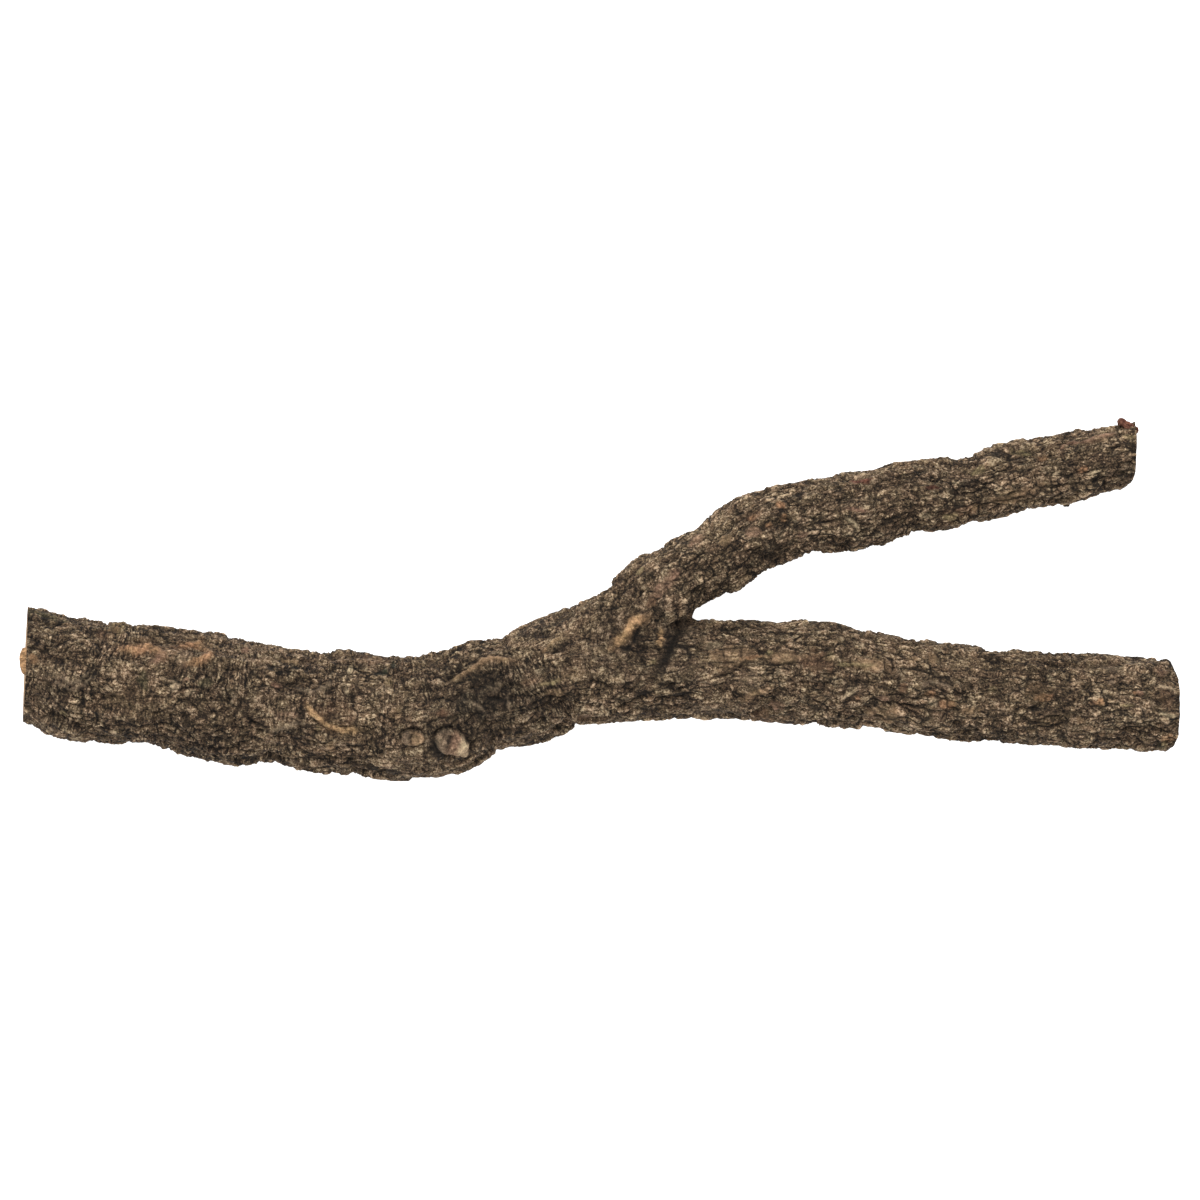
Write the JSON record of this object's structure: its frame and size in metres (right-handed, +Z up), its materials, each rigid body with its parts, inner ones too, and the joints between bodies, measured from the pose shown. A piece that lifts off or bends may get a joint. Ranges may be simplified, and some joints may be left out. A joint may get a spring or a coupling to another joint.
{
  "type": "cork branch",
  "caption": "Natural forked branch of cork oak in its rough bark, lying on its side, with a bent trunk, a straight lower limb, a thinner upper limb and sawn ends.",
  "frame": {"origin": "under the middle of the branch's plan, on the surface that it lies on", "axes": "+X along the branch from the trunk's saw cut to the limbs' tips, +Y to the side that the upper limb leans to, +Z up"},
  "size_m": [0.602, 0.1902, 0.0642],
  "materials": {
    "cork_bark": "rough fissured cork bark, dark brown with tan worn ridges and small orange scars, dull and dry; sawn wood on the cut ends"
  },
  "bodies": {
    "root": {"trunk": "cork_bark", "upper_limb": "cork_bark", "lower_limb": "cork_bark"}
  },
  "joints": []
}
